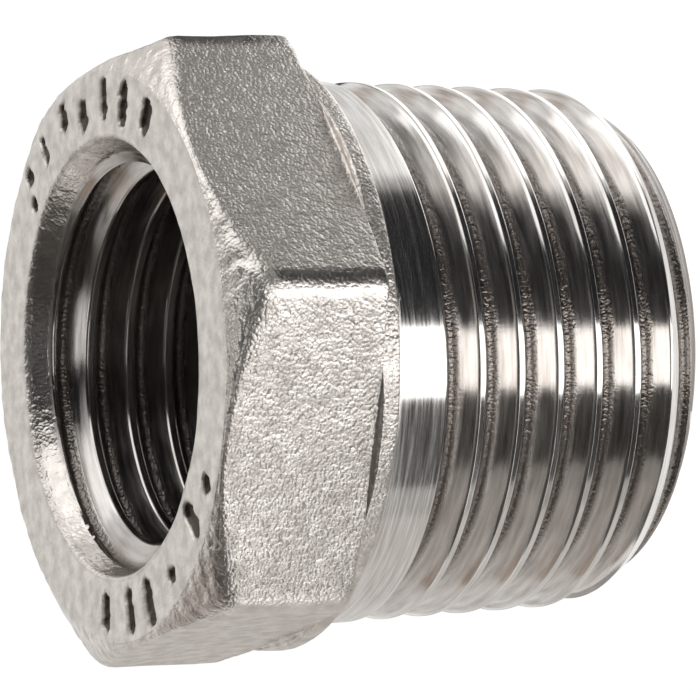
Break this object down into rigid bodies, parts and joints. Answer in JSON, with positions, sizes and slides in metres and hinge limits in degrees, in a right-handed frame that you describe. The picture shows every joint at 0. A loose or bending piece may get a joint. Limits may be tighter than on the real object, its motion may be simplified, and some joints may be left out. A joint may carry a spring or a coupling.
{
  "type": "hexagon reducing bushing",
  "caption": "Hexagon reducing bushing for pipe: a taper thread outside, a parallel thread inside, and a cast hexagon head with a round collar.",
  "frame": {"origin": "centre of the flat end of the male thread, which is the lowest face", "axes": "+Z along the bushing's axis and out of the hexagon's face, +X square to one flat of the hexagon, +Y towards a corner of the hexagon"},
  "size_m": [0.0184, 0.0204, 0.0165],
  "materials": {
    "stainless_steel": "blasted cast skin on the hexagon and collar, bright turned metal on the threads and neck"
  },
  "bodies": {
    "root": {"hex_bushing": "stainless_steel"}
  },
  "joints": []
}
